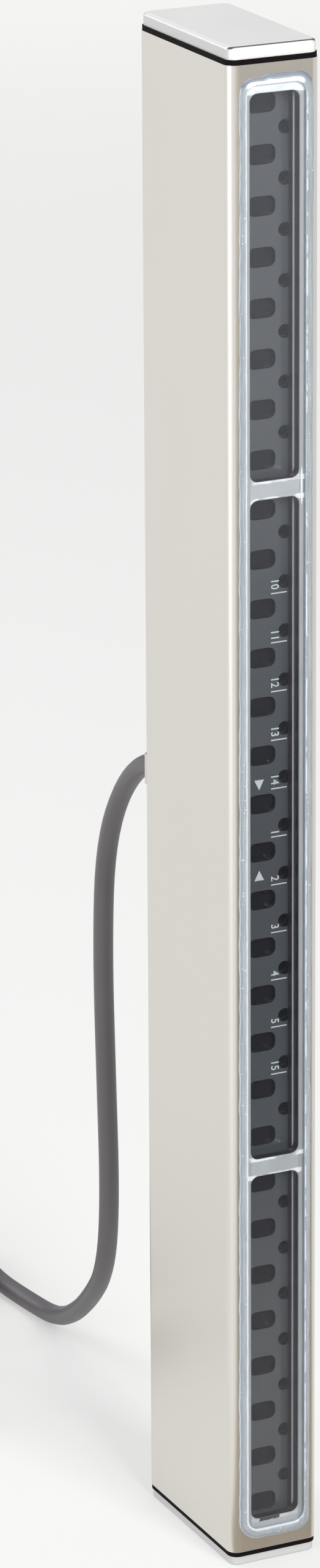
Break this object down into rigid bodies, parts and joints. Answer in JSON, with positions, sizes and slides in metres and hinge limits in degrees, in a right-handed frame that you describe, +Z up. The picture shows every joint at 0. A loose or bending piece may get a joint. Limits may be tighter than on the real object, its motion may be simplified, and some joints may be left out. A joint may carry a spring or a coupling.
{
  "type": "safety light curtain",
  "caption": "Slim stainless safety light curtain stick with three glazed front windows over a row of beam apertures, end plates on gaskets and a rear cable with a round plug.",
  "frame": {"origin": "middle of the foot, at the underside of the bottom end plate", "axes": "+Z up along the housing, the windows face -Y, the cable leaves towards +Y, +X to the right seen from the front"},
  "size_m": [0.0547, 0.1975, 0.3135],
  "materials": {
    "stainless": "fine satin brushed along the length",
    "stainless_plate": "smooth satin",
    "screws": "plain bright",
    "gasket": "matt black",
    "clear_pane": "clear, glossy",
    "silicone_bead": "bluish translucent silicone, glossy and slightly wavy",
    "carrier_aluminium": "natural anodised",
    "block_plastic": "matt black",
    "dark_plate": "dark grey, glossy, with printed pale marks",
    "black_moulding": "matt black",
    "lens_plastic": "smoked, glossy",
    "circuit_board": "green solder mask",
    "dark_chip": "matt black",
    "clear_chip": "milky",
    "pale_plastic": "cream",
    "lead_insulation": "plain, each conductor in one colour",
    "gland_metal": "nickel plated",
    "cable_jacket": "mid grey, smooth satin jacket",
    "plug_moulding": "black moulded grip",
    "gold_pins": "gold plated"
  },
  "bodies": {
    "curtain": {"housing": "stainless", "top_end_plate": "stainless_plate", "bottom_end_plate": "stainless_plate", "bottom_plate_screws": "screws", "top_gasket": "gasket", "bottom_gasket": "gasket", "front_pane": "clear_pane", "pane_seal": "silicone_bead", "carrier_profile": "carrier_aluminium", "bottom_end_block": "block_plastic", "top_end_block": "block_plastic", "bottom_block_screws": "screws", "top_block_screws": "screws", "aperture_plate": "dark_plate", "optics_holder": "black_moulding", "lower_lens_strip": "lens_plastic", "middle_lens_strip": "lens_plastic", "upper_lens_strip": "lens_plastic", "optics_board": "circuit_board", "main_board": "circuit_board", "photodiodes": "dark_chip", "emitter_leds": "clear_chip", "status_leds": "clear_chip", "status_light_guides": "lens_plastic", "processor_chip": "dark_chip", "power_module": "dark_chip", "board_link": "black_moulding", "cable_socket": "pale_plastic", "cable_plug": "pale_plastic", "inner_leads": "lead_insulation", "gland_body": "gland_metal", "gland_nut": "gland_metal", "gland_seal": "gasket", "gland_o_ring": "gasket", "gland_locknut": "gland_metal", "cable_lead": "cable_jacket", "cable_tail": "cable_jacket", "cable_coil": "cable_jacket", "connector_body": "plug_moulding", "pin_insert": "black_moulding", "contact_pins": "gold_pins"},
    "plug_screw": {"coupling_screw": "gland_metal"}
  },
  "joints": [
    {"name": "coupling_screw_turn", "type": "hinge", "parent": "curtain", "child": "plug_screw", "pos_m": [-0.0368, 0.0884, 0.0074], "axis": [0, -1, 0], "continuous": true}
  ]
}
